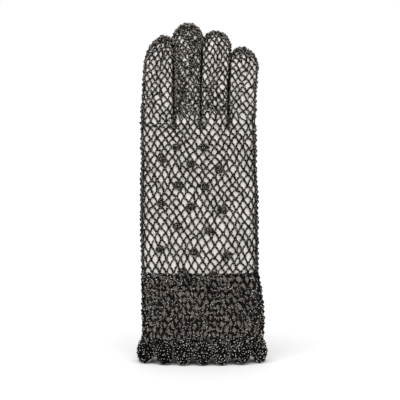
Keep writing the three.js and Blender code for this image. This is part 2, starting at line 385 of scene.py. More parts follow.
@dataclass
class FingerSleeve(Sleeve):
    """A finger's sleeve, whose foot is no deeper than the hand that it stands on."""

    blend: float = 14.0

    def shaped(self, points: Array, depth: Array) -> Array:
        """Draws the wall in to the hand's crown near the foot.

        Args:
            points: Points on the plain sleeve.
            depth: Their depths under its face.

        Returns:
            The drawn-in points.
        """
        share = 1 - smooth((points[:, 2] - HAND_TOP) / self.blend)
        return draw_in(points, reach_at(HAND_CROWN, points[:, 0], depth), share)


def bend_at(z: float) -> float:
    """How far a finger leans to the palm side at a height."""
    return FINGER_BEND * max(0.0, (z - HAND_TOP) / (LONGEST_TIP - HAND_TOP)) ** 2


def finger_sleeve(
    rows: tuple[tuple[float, ...], ...], tip: tuple[float, float], spread: float = 0.0
) -> Sleeve:
    """A finger's sleeve.

    Args:
        rows: Height, place across, half width and half depth of each section.
        tip: Height and place across of the crown.
        spread: How much wider than its rows the sleeve is at each side.

    Returns:
        The sleeve, leaning as the fingers do.
    """
    foot = (rows[0][0] - FINGER_TUCK, *rows[0][1:])
    sections = tuple(
        Section(z, x, wide + spread, deep, FINGER_SQUARENESS, bend_at(z))
        for z, x, wide, deep in (foot, *rows)
    )
    return FingerSleeve(sections, Tip(*tip, bend_at(tip[0])))


FINGER_TABLE = {
    Digit.INDEX: (
        ((HAND_TOP, -31.7, 12.3, 9.4), (208, -31, 11.5, 9.1), (228, -30.5, 10.8, 8.7)), (247.8, -26.4)
    ),
    Digit.MIDDLE: (
        ((HAND_TOP, -9.2, 9.9, 9.4), (225, -9.2, 10.3, 8.9), (245, -9, 11, 8.6)), (257, -8.6)
    ),
    Digit.RING: (
        ((HAND_TOP, 11.1, 10.3, 9.3), (212, 11.5, 10.4, 8.9), (238, 12.6, 10.7, 8.4)), (251.5, 12.4)
    ),
    Digit.LITTLE: (
        ((HAND_TOP, 31.8, 10.3, 9), (204, 32, 10.2, 8.4), (225, 33.3, 10.6, 7.9)), (239, 31.7)
    ),
}
FINGER_SLEEVES = {digit: finger_sleeve(*table) for digit, table in FINGER_TABLE.items()}
FINGER_LINING_SLEEVES = {
    digit: finger_sleeve(*table, FINGER_LINING_SPREAD) for digit, table in FINGER_TABLE.items()
}
HAND_SLEEVE = HandSleeve(
    (
        Section(CUFF_TOP, 0.3, 44.2, 13, 2.6),
        Section(124, -0.4, 44.2, 12.4, 2.8),
        Section(154, -0.5, 43, 11.4, 3),
        HAND_CROWN,
    ),
    roots=tuple(sleeve.sections[0] for sleeve in FINGER_SLEEVES.values()),
)
THUMB_SLEEVE = Sleeve(
    (
        Section(86, -26, 10.5, 7.5, y=3),
        Section(100, -27, 12, 9, y=8.5),
        Section(116, -27, 12, 9.6, y=15),
        Section(134, -25.3, 11.2, 9.4, y=20.3),
        Section(154, -22, 10.5, 8.9, y=22),
        Section(178, -17, 9.8, 8.4, y=21.2),
    ),
    Tip(192, -14.5, 20.2),
)


def hand_face(x: Array, z: Array, sign: float) -> Array:
    """The hand's face at places across and heights.

    Args:
        x: Places across.
        z: Heights.
        sign: -1 for the back of the hand, 1 for the palm.

    Returns:
        The face's y at each.
    """
    y = sign * reach_at(HAND_SLEEVE.section_at(z), x, 0.0)
    return HAND_SLEEVE.shaped(np.stack([x, y, z], axis=-1), np.zeros(len(y)))[:, 1]


# Meshes


class MeshMaker:
    """Gathers triangles from arrays and makes one mesh object of them."""

    def __init__(self) -> None:
        """Starts empty."""
        self.points: list[Array] = []
        self.faces: list[Array] = []
        self.count = 0

    def add(self, points: Array, faces: Array) -> None:
        """Adds copies of one shape.

        Args:
            points: Points of every copy, copies by points by three, in millimetres.
            faces: The triangles of one copy.
        """
        copies, size = points.shape[:2]
        starts = self.count + size * np.arange(copies)
        self.points.append(points.reshape(-1, 3))
        self.faces.append((faces[None] + starts[:, None, None]).reshape(-1, 3))
        self.count += copies * size

    def finish(self, name: str, material: bpy.types.Material) -> Piece:
        """Makes the object.

        Args:
            name: The piece's name.
            material: Its finish.

        Returns:
            The new object, smooth-shaded, in metres.
        """
        points = np.concatenate(self.points).astype(np.float32) * MM
        faces = np.concatenate(self.faces).astype(np.int32)
        mesh = bpy.data.meshes.new(name)
        mesh.vertices.add(len(points))
        mesh.vertices.foreach_set("co", points.ravel())
        mesh.loops.add(faces.size)
        mesh.loops.foreach_set("vertex_index", faces.ravel())
        mesh.polygons.add(len(faces))
        mesh.polygons.foreach_set("loop_start", np.arange(0, faces.size, 3, dtype=np.int32))
        mesh.update(calc_edges=True)
        mesh.shade_smooth()
        mesh.materials.append(material)
        made = bpy.data.objects.new(name, mesh)
        bpy.context.scene.collection.objects.link(made)
        LOG.info("%s: %d triangles", name, len(faces))
        return made


def ring_faces(rings: int, sides: int, looped: bool = False) -> Array:
    """Triangles of a tube.

    Args:
        rings: How many rings of points it has.
        sides: How many points each ring has.
        looped: Whether its last ring joins its first. If not, its ends are closed.

    Returns:
        The triangles, facing out where the rings turn against the clock about their way.
    """
    i = np.arange(sides)
    following = (i + 1) % sides
    bands = []
    for ring in range(rings if looped else rings - 1):
        low, high = ring * sides, (ring + 1) % rings * sides
        bands.append(np.stack([low + i, low + following, high + following], axis=1))
        bands.append(np.stack([low + i, high + following, high + i], axis=1))
    if not looped:
        fan = np.arange(1, sides - 1)
        last = (rings - 1) * sides
        bands.append(np.stack([0 * fan, fan + 1, fan], axis=1))
        bands.append(np.stack([last + 0 * fan, last + fan, last + fan + 1], axis=1))
    return np.concatenate(bands)


def add_strands(maker: MeshMaker, path: Array, radius: Array | float, out: Array, sides: int) -> None:
    """Adds round strands along paths.

    Args:
        maker: Where the strands go.
        path: Points of each strand, strands by points by three.
        radius: Their radius, at each point of each or for all.
        out: A direction across each strand, at each point or for all.
        sides: Sides of the strands.
    """
    along = unit(np.gradient(path, axis=1))
    across = unit(np.cross(along, out))
    lift = np.cross(across, along)
    turn = TURN * np.arange(sides) / sides
    radius = np.broadcast_to(radius, path.shape[:2])[..., None, None]
    spokes = across[:, :, None] * np.cos(turn)[:, None] + lift[:, :, None] * -np.sin(turn)[:, None]
    rings = path[:, :, None] + spokes * radius
    maker.add(rings.reshape(len(path), -1, 3), ring_faces(path.shape[1], sides)[:, ::-1])


@dataclass(frozen=True)
class BeadShape:
    """A bead's profile: places along its thread and radii there, as shares of its radius."""

    along: tuple[float, ...] = (-0.72, 0.0, 0.72)
    wide: tuple[float, ...] = (0.6, 1.0, 0.6)
    sides: int = 6


KNOT = BeadShape((-0.9, -0.35, 0.35, 0.9), (0.35, 0.95, 0.95, 0.35), 5)
SEED_BEAD = BeadShape()
# The faces of the small light beads that are painted highlights
GLINT_FACES = np.array(
    [[0, 2, 4], [2, 1, 4], [1, 3, 4], [3, 0, 4], [2, 0, 5], [1, 2, 5], [3, 1, 5], [0, 3, 5]]
)


def strung(centres: Array, way: Array, out: Array | float) -> Array:
    """Beads, as their middles, the ways of their threads and their outward directions."""
    return np.stack([centres, way, np.broadcast_to(out, centres.shape)], axis=1)


def add_beads(maker: MeshMaker, beads: Array, radius: Array | float, shape: BeadShape = SEED_BEAD) -> None:
    """Adds beads.

    Args:
        maker: Where the beads go.
        beads: The beads, as strung() gives them.
        radius: Their radii, or one for all.
        shape: Their profile.
    """
    centres, thread = beads[:, 0], unit(beads[:, 1])
    helper = np.where(np.abs(thread[:, 2:3]) < 0.8, [[0.0, 0.0, 1.0]], [[1.0, 0.0, 0.0]])
    across = unit(np.cross(thread, helper))
    over = np.cross(thread, across)
    turn = TURN * np.arange(shape.sides) / shape.sides
    spokes = across[:, None] * np.cos(turn)[:, None] + over[:, None] * np.sin(turn)[:, None]
    along, wide = np.array(shape.along), np.array(shape.wide)
    scale = np.broadcast_to(radius, len(beads))[:, None, None, None]
    rings = thread[:, None, None] * along[:, None, None] + spokes[:, None] * wide[:, None, None]
    points = centres[:, None, None] + rings * scale
    maker.add(points.reshape(len(beads), -1, 3), ring_faces(len(along), shape.sides))


# Painted highlight beads: how far they stray in millimetres, their sizes and their least height in usual
# radii
GLINT_STRAY = 0.12
GLINT_SMALLEST = 0.75
GLINT_SPREAD = 0.5
GLINT_LOWEST = 1.3


def add_glints(
    maker: MeshMaker, beads: Array, rng: Chance, share: Array | float, radius: float, lift: float
) -> None:
    """Adds painted highlights: small light beads on the outer face of some larger ones, in place of glints.

    Args:
        maker: Where they go.
        beads: The larger beads, as strung() gives them.
        rng: The source of chance.
        share: How many of them carry one, as one number or one for each.
        radius: The usual radius of a painted highlight bead.
        lift: How far the painted highlight beads stand out from the middles of the larger ones.
    """
    chosen = beads[rng.random(len(beads)) < share]
    centres = chosen[:, 0] + chosen[:, 2] * lift + GLINT_STRAY * rng.standard_normal((len(chosen), 3))
    size = radius * (GLINT_SMALLEST + GLINT_SPREAD * rng.random((len(chosen), 1)))
    centres[:, 2] = np.maximum(centres[:, 2], GLINT_LOWEST * radius)
    first = unit(rng.standard_normal(centres.shape))
    second = unit(np.cross(first, rng.standard_normal(centres.shape)))
    third = np.cross(first, second)
    corners = np.stack([first, -first, second, -second, third, -third], axis=1)
    maker.add(centres[:, None] + corners * size[:, None], GLINT_FACES)


# Finishes


class Nodes:
    """A short way to add and link shader nodes."""

    def __init__(self, name: str) -> None:
        """Starts a material with its principled shader.

        Args:
            name: The material's name.
        """
        self.material = bpy.data.materials.new(name)
        self.material.use_nodes = True
        self.tree = self.material.node_tree
        self.shader = self.tree.nodes["Principled BSDF"]

    def feed(self, node: bpy.types.Node, values: dict[str | int, object]) -> None:
        """Links or sets a node's sockets.

        Args:
            node: The node.
            values: By socket, another node's output to link, or else a number or a colour.
        """
        for key, value in values.items():
            if isinstance(value, bpy.types.NodeSocket):
                self.tree.links.new(value, node.inputs[key])
            else:
                node.inputs[key].default_value = value

    def add(
        self, kind: str, values: dict[str | int, object], output: str, **settings: str
    ) -> bpy.types.NodeSocket:
        """Adds one node.

        Args:
            kind: The node's type, without its usual first word.
            values: What its sockets are fed.
            output: The output that is wanted.
            settings: Its other settings.

        Returns:
            The output's socket.
        """
        node = self.tree.nodes.new(f"ShaderNode{kind}")
        for key, value in settings.items():
            setattr(node, key, value)
        self.feed(node, values)
        return node.outputs[output]

    def ramp(self, source: bpy.types.NodeSocket, *stops: tuple[float, Colour]) -> bpy.types.NodeSocket:
        """Colours a value.

        Args:
            source: The value.
            stops: Two places from 0 to 1 with their colours.

        Returns:
            The colour's socket.
        """
        colour = self.add("ValToRGB", {"Fac": source}, "Color")
        for element, (place, shade) in zip(colour.node.color_ramp.elements, stops):
            element.position = place
            element.color = (*shade, 1.0)
        return colour


@dataclass(frozen=True)
class BeadFinish:
    """Black beads and waxed thread, with painted highlights among them: small metal spots in place of
    glints.
    """

    name: str
    dark: Colour
    # Beads vary at random from dark to this paler colour; in the light finishes both are painted highlight
    # colours
    paler: Colour
    # The colour of the painted highlight spots, dimmer at random
    bright: Colour
    roughness: float = 0.5
    polish: float = 0.06
    glint_scale: float = 640.0
    glint_size: float = 0.34
    grain: float = 2600.0
    bump: float = 0.15

    def material(self) -> bpy.types.Material:
        """Builds the finish.

        Returns:
            The material.
        """
        nodes = Nodes(self.name)
        where = nodes.add("TexCoord", {}, "Object")
        island = nodes.add("NewGeometry", {}, "Random Per Island")
        body = nodes.ramp(island, (0.0, self.dark), (1.0, self.paler))
        # Painted highlights: small metal spots of the bright colour, dimmer at random, stand in for the
        # beads' glints
        near = nodes.add("TexVoronoi", {"Scale": self.glint_scale, "Vector": where}, "Distance")
        edges = {"From Min": self.glint_size * 0.7, "From Max": self.glint_size, "To Min": 1.0, "To Max": 0.0}
        cut = nodes.add("MapRange", {"Value": near, **edges}, "Result")
        chance = nodes.add("SeparateColor", {"Color": near.node.outputs["Color"]}, "Red")
        faint = tuple(value * 0.3 for value in self.bright)
        glint_colour = nodes.ramp(chance, (0.0, faint), (1.0, self.bright))
        mixed = nodes.add("Mix", {"Factor": cut, "A": body, "B": glint_colour}, "Result", data_type="RGBA")
        noise = nodes.add("TexNoise", {"Scale": self.grain, "Detail": 2.0, "Vector": where}, "Fac")
        spread = {"To Min": self.roughness * 0.8, "To Max": self.roughness * 1.2}
        gloss = nodes.add("MapRange", {"Value": noise, **spread}, "Result")
        bump = nodes.add("Bump", {"Strength": self.bump, "Distance": 0.0001, "Height": noise}, "Normal")
        nodes.feed(nodes.shader, {
            "Base Color": mixed,
            "Metallic": cut,
            "Roughness": gloss,
            "Normal": bump,
            "Specular IOR Level": self.polish,
        })
        return nodes.material


@dataclass(frozen=True)
class KnitFinish:
    """A fine warp-knit lining: ribs of tiny stitches, a soft sheen and faint shading."""

    name: str
    colour: Colour
    shade: Colour
    rib: float = 620.0
    course: float = 520.0

    def material(self) -> bpy.types.Material:
        """Builds the finish.

        Returns:
            The material.
        """
        nodes = Nodes(self.name)
        where = nodes.add("TexCoord", {}, "Object")
        cloud = nodes.add("TexNoise", {"Scale": 45.0, "Detail": 3.0, "Vector": where}, "Fac")
        colour = nodes.ramp(cloud, (0.3, self.shade), (0.62, self.colour))
        ribs, courses = (
            nodes.add(
                "TexWave", {"Scale": scale, "Distortion": distortion, "Vector": where}, "Fac",
                bands_direction=axis,
            )
            for scale, distortion, axis in ((self.rib, 1.2, "X"), (self.course, 0.8, "Z"))
        )
        stitch = nodes.add("Math", {0: ribs, 1: courses}, "Value", operation="MULTIPLY")
        tint = nodes.add(
            "Mix", {"Factor": 0.12, "A": colour, "B": stitch}, "Result",
            data_type="RGBA", blend_type="MULTIPLY",
        )
        bump = nodes.add("Bump", {"Strength": 0.35, "Distance": 0.0002, "Height": stitch}, "Normal")
        nodes.feed(nodes.shader, {
            "Base Color": tint,
            "Normal": bump,
            "Roughness": 0.85,
            "Sheen Weight": 0.15,
        })
        return nodes.material


# The colour of the painted highlight spots on the blackest beads
GLINT_GREY = (0.32, 0.30, 0.285)
HAND_BEADS = BeadFinish(
    "black_net_beads", (0.0026, 0.002, 0.0016), (0.0105, 0.008, 0.0063), (0.34, 0.32, 0.30), glint_size=0.31
)
FINGER_BEADS = BeadFinish(
    "black_finger_beads", (0.003, 0.0023, 0.0018), (0.0125, 0.0095, 0.0075), (0.38, 0.355, 0.33),
    glint_size=0.31,
)
CUFF_BEADS = BeadFinish(
    "shiny_black_beads", (0.0012, 0.001, 0.0009), (0.005, 0.0043, 0.0038), GLINT_GREY, polish=0.03, glint_size=0.12
)
CUFF_NET_BEADS = BeadFinish(
    "dull_black_beads", (0.0016, 0.0013, 0.0012), (0.0085, 0.0073, 0.0064), GLINT_GREY, polish=0.03, glint_size=0.12
)
MOTIF_BEADS = BeadFinish(
    "motif_black_beads", (0.004, 0.0034, 0.003), (0.014, 0.012, 0.010), (0.40, 0.38, 0.36), glint_size=0.2
)
# Light finishes for the small beads that are painted highlights: their pale colours stand in for the glints
# of black beads
NET_GLINTS = BeadFinish(
    "painted_net_glints", (0.105, 0.092, 0.082), (0.48, 0.43, 0.385), (0.7, 0.67, 0.64),
    roughness=0.3, polish=0.4, glint_scale=900.0, glint_size=0.4,
)
BRIGHT_BEADS = BeadFinish(
    "bright_painted_glints", (0.235, 0.21, 0.19), (0.9, 0.84, 0.785), (0.95, 0.93, 0.90),
    roughness=0.3, polish=0.5, glint_scale=900.0, glint_size=0.3,
)
CUFF_GLINTS = BeadFinish(
    "painted_cuff_glints", (0.2, 0.178, 0.16), (0.7, 0.65, 0.605), (0.85, 0.82, 0.79),
    roughness=0.3, polish=0.5, glint_scale=900.0, glint_size=0.3,
)
PALE_KNIT = KnitFinish("pale_knit_lining", (0.72, 0.68, 0.64), (0.65, 0.61, 0.575))
DARK_KNIT = KnitFinish("taupe_knit_lining", (0.205, 0.174, 0.155), (0.163, 0.137, 0.122))


# Nets and loops


def everywhere(points: Array) -> Array:
    """Keeps every point."""
    return np.ones(len(points), bool)


@dataclass
class Net:
    """A net of staggered lozenges on a sleeve, knotted where its beaded strands cross.

    Its knots wander up the wall, less so within the calm length of its ends, and by the stray
    share of that sideways. Its strands bow down or up, and lift off the wall, in their middles.
    """

    sleeve: Sleeve
    rng: Chance
    columns: int
    start: float
    end: float
    first_step: float
    last_step: float
    radius: float = 0.84
    beads: int = 3
    depth: float = NET_DEPTH
    wander: float = 0.5
    bow: float = 0.85
    slope: float = 0.045
    shift: float = 0.0
    climb: float = 0.0
    sides: int = 5
    waist: float = 0.64
    knot: float = 1.15
    lean: float = 0.1
    uneven: float = 0.1
    calm: float = 9.0
    stray: float = 0.42
    lift: float = 0.22
    drift: tuple[Colour, ...] = ((0.9, 3, 11.0), (0.6, 5, -7.0))
    sway: tuple[Colour, ...] = ((0.10, 2, 9.0), (0.08, 4, -13.0))

    def rows(self) -> Array:
        """The heights of the rows of knots, up the wall.

        Returns:
            Lengths up the wall, whose steps change evenly from the first to the last.
        """
        mean = (self.first_step + self.last_step) / 2
        count = max(2, round((self.end - self.start) / mean))
        walked = np.concatenate([[0], np.cumsum(np.linspace(self.first_step, self.last_step, count))])
        return self.start + walked * (self.end - self.start) / walked[-1]

    def knots(self) -> tuple[Array, Array]:
        """The places of the knots.

        Returns:
            The share round and the length up the wall, rows by columns.
        """
        s_rows = self.rows()
        stagger = (np.arange(len(s_rows)) % 2)[:, None] / 2
        u = (np.arange(self.columns)[None] + stagger + self.shift) / self.columns
        s = np.repeat(s_rows[:, None], self.columns, axis=1)
        wide = float(np.mean([row.half_width for row in self.sleeve.sections]))
        near_end = smooth(np.minimum(s_rows - self.start, self.end - s_rows) / self.calm)[:, None]
        drift = waves(self.drift, u, s, -self.slope * wide * np.cos(TURN * u))
        pitch = 2 * wide / self.columns
        stray = self.wander / pitch * self.stray * self.rng.standard_normal(u.shape)
        u = u + (waves(self.sway, u, s) + stray) / self.columns
        s = s + near_end * (drift + self.wander * self.rng.standard_normal(u.shape)) + self.climb
        return u, s

    def build(
        self, maker: MeshMaker, keep: Keep = everywhere, tie_to: Array | None = None
    ) -> tuple[Array, Array]:
        """Lays the net.

        Args:
            maker: Where its strands and knots go.
            keep: Says of points on the net which are kept.
            tie_to: Knots of another net that the lowest strands are tied to.

        Returns:
            The beads of the kept strands and the kept knots, as strung() gives them.
        """
        rng = self.rng
        u, s = self.knots()
        rows = np.arange(len(u) - 1)
        ends = []
        for side in (-1, 0):
            over = np.arange(self.columns)[None] + (rows % 2)[:, None] + side
            above = (rows[:, None] + 1, over % self.columns)
            ends.append(np.stack([u[:-1], s[:-1], u[above] + over // self.columns, s[above]], axis=-1))
        count = ends[0].size // 4
        ends = np.concatenate([end.reshape(-1, 4) for end in ends])
        leaning = np.repeat([[1.0], [-1.0]], count, axis=0)
        lowest = np.tile(np.arange(count) < self.columns, 2)
        t = np.linspace(0, 1, 2 * self.beads + 1)[None]
        arch = 4 * t * (1 - t)
        bow = self.bow * (1 - 2 * self.lean * leaning) * (0.6 + 0.8 * rng.random((len(ends), 1)))
        lift = self.lift * rng.standard_normal((len(ends), 1))
        u_path = ends[:, 0:1] * (1 - t) + ends[:, 2:3] * t
        s_path = ends[:, 1:2] * (1 - t) + ends[:, 3:4] * t + bow * arch
        s_path = np.clip(s_path, 0, self.sleeve.length)
        path = self.sleeve.points(u_path, s_path, self.depth - lift * arch)
        out = self.sleeve.outward(u_path, s_path)
        if tie_to is not None:
            path[lowest] = tied(path[lowest], tie_to)
        kept = keep(path[:, self.beads])
        path, out = path[kept], out[kept]
        swell = np.where(np.arange(t.size) % 2 == 1, 1.0, self.waist)
        spread = (1 + self.lean * leaning[kept]) * (0.88 + 0.24 * rng.random((len(path), 1)))
        uneven = 1 + self.uneven * rng.standard_normal((len(path), t.size))
        add_strands(maker, path, self.radius * swell[None] * spread * uneven, out, self.sides)
        first = 1 if tie_to is not None else 0
        knots = self._add_knots(maker, u[first:].ravel(), s[first:].ravel(), keep)
        swells = np.arange(1, t.size, 2)
        way = np.repeat((path[:, -1] - path[:, 0])[:, None], self.beads, axis=1)
        return np.stack([path[:, swells], way, out[:, swells]], axis=2).reshape(-1, 3, 3), knots

    def _add_knots(self, maker: MeshMaker, u: Array, s: Array, keep: Keep) -> Array:
        """Adds a knot bead at each crossing.

        Args:
            maker: Where the knots go.
            u: Share of the way round of each knot.
            s: Length up the wall of each knot.
            keep: Says of points on the net which are kept.

        Returns:
            The knots, as strung() gives them.
        """
        s = np.clip(s, 0, self.sleeve.length)
        centres = self.sleeve.points(u, s, self.depth)
        kept = keep(centres)
        centres, out = centres[kept], self.sleeve.outward(u, s)[kept]
        knots = strung(centres, self.rng.standard_normal(centres.shape), out)
        size = self.radius * self.knot * (0.9 + 0.25 * self.rng.random(len(centres)))
        add_beads(maker, knots, size, KNOT)
        return knots

    def top_knots(self) -> Array:
        """The places of the top row of knots, in millimetres."""
        u, s = self.knots()
        return self.sleeve.points(u[-1], np.clip(s[-1], 0, self.sleeve.length), self.depth)


def tied(paths: Array, knots: Array) -> Array:
    """Moves the lower end of each path to the nearest knot, and the rest of it by less.

    Args:
        paths: Points of each path, paths by points by three.
        knots: The knots.

    Returns:
        The moved paths.
    """
    apart = np.linalg.norm(paths[:, None, 0] - knots[None], axis=-1)
    move = knots[np.argmin(apart, axis=1)] - paths[:, 0]
    share = np.linspace(1, 0, paths.shape[1])
    return paths + move[:, None] * share[None, :, None]


@dataclass(frozen=True)
class Loop:
    """The usual edge loop. Its size varies as a share, and it leans aside by a share of the round."""

    length: float = 2.9
    radius: float = 0.7
    count: int = 7
    smallest: float = 0.65
    spread: float = 0.7
    aside: float = 0.006
    foot_depth: float = 0.5
    belly: float = 0.3
    waist: float = 0.78
    sides: int = 6


LOOP = Loop()


def add_loops(
    maker: MeshMaker, sleeve: Sleeve, places: tuple[Array, Array], rng: Chance, reach: float = 0.95
) -> None:
    """Adds the little loops that stand out along the glove's edges.

    Args:
        maker: Where they go.
        sleeve: The sleeve that they stand on.
        places: Share of the way round, and length up the wall of the foot, of each.
        rng: The source of chance.
        reach: How far they stand out.
    """
    u, s = places
    t = np.linspace(0, 1, LOOP.count)[None]
    size = LOOP.smallest + LOOP.spread * rng.random((len(u), 1))
    u_path = u[:, None] + LOOP.aside * rng.standard_normal((len(u), 1)) * t
    s_path = np.clip(s[:, None] + LOOP.length * size * t, 0, sleeve.length)
    depth = LOOP.foot_depth - (reach * size + LOOP.belly) * np.sin(math.pi * t)
    path = sleeve.points(u_path, s_path, depth)
    swell = np.where(np.arange(LOOP.count) % 2 == 1, 1.0, LOOP.waist)
    add_strands(maker, path, LOOP.radius * swell[None], sleeve.outward(u_path, s_path), LOOP.sides)


# How far edge places stray: a share of the way round, and a share of their step
EDGE_STRAY_ROUND = 0.007
EDGE_STRAY_UP = 0.12


def edge_places(start: float, end: float, step: float, rng: Chance) -> tuple[Array, Array]:
    """Places up both edges of a sleeve, a little scattered.

    Args:
        start: Length up the wall of the first.
        end: Length up the wall of the last.
        step: The step between them.
        rng: The source of chance.

    Returns:
        Shares round and lengths up the wall.
    """
    s = np.arange(start, end, step)
    u = np.concatenate([np.zeros(len(s)), np.full(len(s), 0.5)])
    s = np.concatenate([s, s + step / 2])
    u = u + EDGE_STRAY_ROUND * rng.standard_normal(len(s))
    return u, s + EDGE_STRAY_UP * step * rng.standard_normal(len(s))


def near_edges(sleeve: Sleeve, reach: float, rng: Chance) -> Keep:
    """Makes a rule that keeps places near a sleeve's two edges, fewer of them further in.

    Args:
        sleeve: The sleeve.
        reach: How far in from the edge the last of them lies.
        rng: The source of chance.

    Returns:
        The rule.
    """

    def keep(points: Array) -> Array:
        """Whether each point is kept.

        Args:
            points: The points.

        Returns:
            True where a point is kept.
        """
        row = sleeve.section_at(points[:, 2])
        inward = row.half_width - np.abs(points[:, 0] - row.x)
        return inward < reach * np.sqrt(rng.random(len(points)))

    return keep


# Sub-assemblies


def dress(piece: Piece, slot: str, *nodes: str) -> Piece:
    """Rides a piece on the glove, and hides the frame's nodes that it stands for.

    Args:
        piece: The piece.
        slot: Not used.
        nodes: The frame's nodes that it stands for.

    Returns:
        The piece.
    """
    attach(piece, BODY)
    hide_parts(*nodes)
    return piece


@dataclass
class LiningWall:
    """A thin sewn sleeve of lining, with an outer and an inner face."""

    name: str
    slot: str
    nodes: tuple[str, ...]
    sleeve: Sleeve
    start: float
    end: float
    finish: KnitFinish = PALE_KNIT
    around: int = 96
    depth: float = LINING_DEPTH
    step: float = 3.0
    ripple: float = 0.16
    ripples: tuple[Colour, ...] = ((1.0, 7, 5.0), (1.0, 4, -8.0))
    rim: float = 0.12

    def face(self, depth: float, s: Array) -> Array:
        """One face's grid of points, a little rippled."""
        u, s = np.meshgrid(np.arange(self.around) / self.around, s)
        return self.sleeve.points(u, s, depth + self.ripple * 0.5 * waves(self.ripples, u, s))

    def build(self) -> Piece:
        """Builds the wall.

        Returns:
            The piece.
        """
        rows = max(3, round((self.end - self.start) / self.step))
        s = np.linspace(self.start + self.rim, self.end - self.rim, rows)
        s = np.concatenate([[self.start], s, [self.end]])
        outer = self.face(self.depth, s)
        inner = self.face(self.depth + LINING_THICKNESS, s)[::-1]
        rings = np.concatenate([outer, inner])
        maker = MeshMaker()
        maker.add(rings.reshape(1, -1, 3), ring_faces(len(rings), self.around, looped=True))
        piece = maker.finish(self.name, self.finish.material())
        dress(piece, self.slot, *self.nodes)
        return piece


@dataclass
class Hand:
    """The hand from the cuff to the fingers: its lining and its net."""

    rng: Chance
    sleeve: Sleeve = field(default_factory=lambda: HAND_SLEEVE)
    columns: int = 34
    low_step: float = 4.6
    high_step: float = 3.45
    edge_reach: float = 2.1
    crotches: tuple[float, ...] = (-20.2, 0.7, 21.8)
    gather_beads: int = 26
    edge_sparkle: float = 0.75
    sparkle: float = 0.12
    thumb_hole: float = -1.4

    def net(self, side: Side = Side.BACK_OF_HAND) -> Net:
        """The hand's net, with rounder beads on the back of the hand.

        Args:
            side: The face that it is laid on.

        Returns:
            The net.
        """
        return Net(
            self.sleeve, self.rng, self.columns, 0.4, self.sleeve.length - 0.3, self.low_step,
            self.high_step, radius=0.92, waist=0.45, sides=6 if side is Side.BACK_OF_HAND else 4,
        )

    def build(self) -> list[Piece]:
        """Builds the lining and the net.

        Returns:
            The pieces.
        """
        length = self.sleeve.length
        lining = LiningWall("hand_lining_knit", "hand_lining", ("hand_lining",), self.sleeve, 0.15, length)
        pieces = [lining.build()]
        state = self.rng.bit_generator.state
        # Small light beads that are painted highlights, on both faces
        bright = MeshMaker()
        for side in Side:
            self.rng.bit_generator.state = state
            maker = MeshMaker()
            self._weave(maker, bright, side)
            piece = maker.finish(f"hand_net_{side.value}", HAND_BEADS.material())
            pieces.append(dress(piece, "hand_beads", "hand_net"))
        glints = bright.finish("hand_painted_glints", NET_GLINTS.material())
        return [*pieces, dress(glints, "hand_beads", "hand_net")]

    def _weave(self, maker: MeshMaker, bright: MeshMaker, side: Side) -> None:
        """Lays one face's net, its closer edges, its loops and its gathers.

        Args:
            maker: Where they go.
            bright: Where the painted highlight beads on them go.
            side: The face.
        """
        rng = self.rng
        beads, knots = self.net(side).build(maker, lambda points: self.on_side(points, side))
        edge = near_edges(self.sleeve, self.edge_reach, rng)
        # Painted highlights: more of them near the edges, and some on the knots and gathers
        share = np.where(edge(beads[:, 0]), self.edge_sparkle, self.sparkle)
        add_glints(bright, beads, rng, share, radius=0.34, lift=0.66)
        add_glints(bright, knots, rng, share=0.45, radius=0.36, lift=0.88)
        edge = near_edges(self.sleeve, self.edge_reach, rng)
        close = Net(
            self.sleeve, rng, self.columns * 2 + 8, 0.4, self.sleeve.length - 0.3, 4.2, 3.4,
            radius=0.44, wander=0.7, depth=0.5, bow=0.6, sides=4,
        )
        beads, _ = close.build(maker, lambda points: edge(points) & self.on_side(points, side))
        add_glints(bright, beads, rng, share=0.6, radius=0.36, lift=0.42)
        if side is Side.BACK_OF_HAND:
            add_loops(maker, self.sleeve, edge_places(1, self.sleeve.length - 1, 3.9, rng), rng)
        add_glints(bright, self._gather(maker, side), rng, share=0.5, radius=0.38, lift=0.6)

    def on_side(self, points: Array, side: Side) -> Array:
        """Whether points lie on one face of the hand and clear of the thumb's hole.

        Args:
            points: The points.
            side: The face.

        Returns:
            True where a point does.
        """
        front = points[:, 1] < 0
        chosen = front if side is Side.BACK_OF_HAND else ~front
        return chosen & ~THUMB_SLEEVE.holds(points, self.thumb_hole)

    def _gather(self, maker: MeshMaker, side: Side) -> Array:
        """Adds the knotted gathers where the fingers part.

        Args:
            maker: Where they go.
            side: The face that they are added on.

        Returns:
            Their beads.
        """
        rng = self.rng
        sign = -1.0 if side is Side.BACK_OF_HAND else 1.0
        gathered = []
        for x in self.crotches:
            count = self.gather_beads
            across = x + 1.5 * rng.standard_normal(count)
            height = HAND_TOP + 0.6 + 2.4 * rng.standard_normal(count)
            height = np.clip(height, HAND_TOP - 4, HAND_TOP + 6)
            face = hand_face(across, np.minimum(height, HAND_TOP), sign) + sign * 0.3
            size = 0.62 + 0.2 * rng.random(count)
            centres = np.stack([across, face, height], axis=1)
            beads = strung(centres, rng.standard_normal((count, 3)), [0.0, sign, 0.0])
            add_beads(maker, beads, size)
            gathered.append(beads)
        return np.concatenate(gathered)


